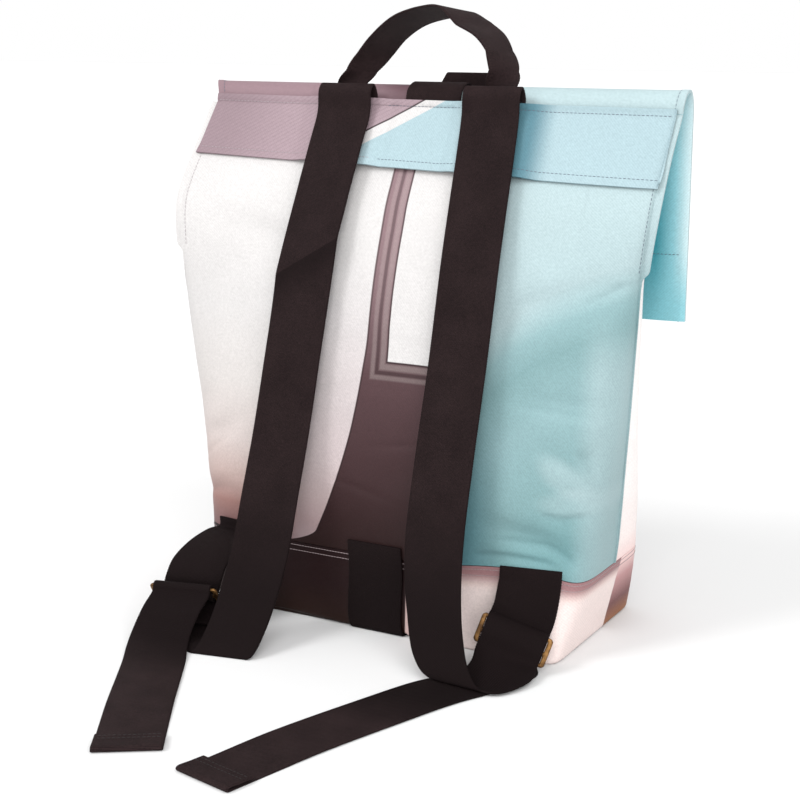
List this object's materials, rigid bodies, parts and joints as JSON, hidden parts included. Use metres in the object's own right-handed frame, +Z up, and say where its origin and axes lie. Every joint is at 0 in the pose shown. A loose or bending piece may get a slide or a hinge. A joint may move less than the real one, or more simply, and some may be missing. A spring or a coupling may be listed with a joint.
{
  "type": "rucksack",
  "caption": "Fold-over rucksack of printed banner cloth on a boxed base, with black webbing shoulder straps, metal sliders and an arched carrying handle.",
  "frame": {"origin": "on the floor under the middle of the base, on the underside of the closing strap that runs under it", "axes": "+Z up; the carrying side with the shoulder straps faces -Y; +X is to the right when one looks at that side"},
  "size_m": [0.4355, 0.4648, 0.506],
  "materials": {
    "banner_back": "satin coated banner cloth",
    "banner_front": "satin coated banner cloth",
    "banner_base": "satin coated banner cloth",
    "banner_flap": "satin coated banner cloth",
    "banner_band": "satin coated banner cloth",
    "webbing": "matte woven cotton",
    "slider_metal": "dull antique"
  },
  "bodies": {
    "root": {"base": "banner_base", "back_panel": "banner_back", "front_panel": "banner_front", "flap": "banner_flap", "top_band": "banner_band", "shoulder_strap_right": "webbing", "shoulder_strap_left": "webbing", "anchor_strap_right": "webbing", "anchor_strap_left": "webbing", "handle": "webbing", "closing_strap_top": "webbing", "closing_strap_base": "webbing", "slider_right": "slider_metal", "slider_left": "slider_metal", "slider_closing": "slider_metal"}
  },
  "joints": []
}
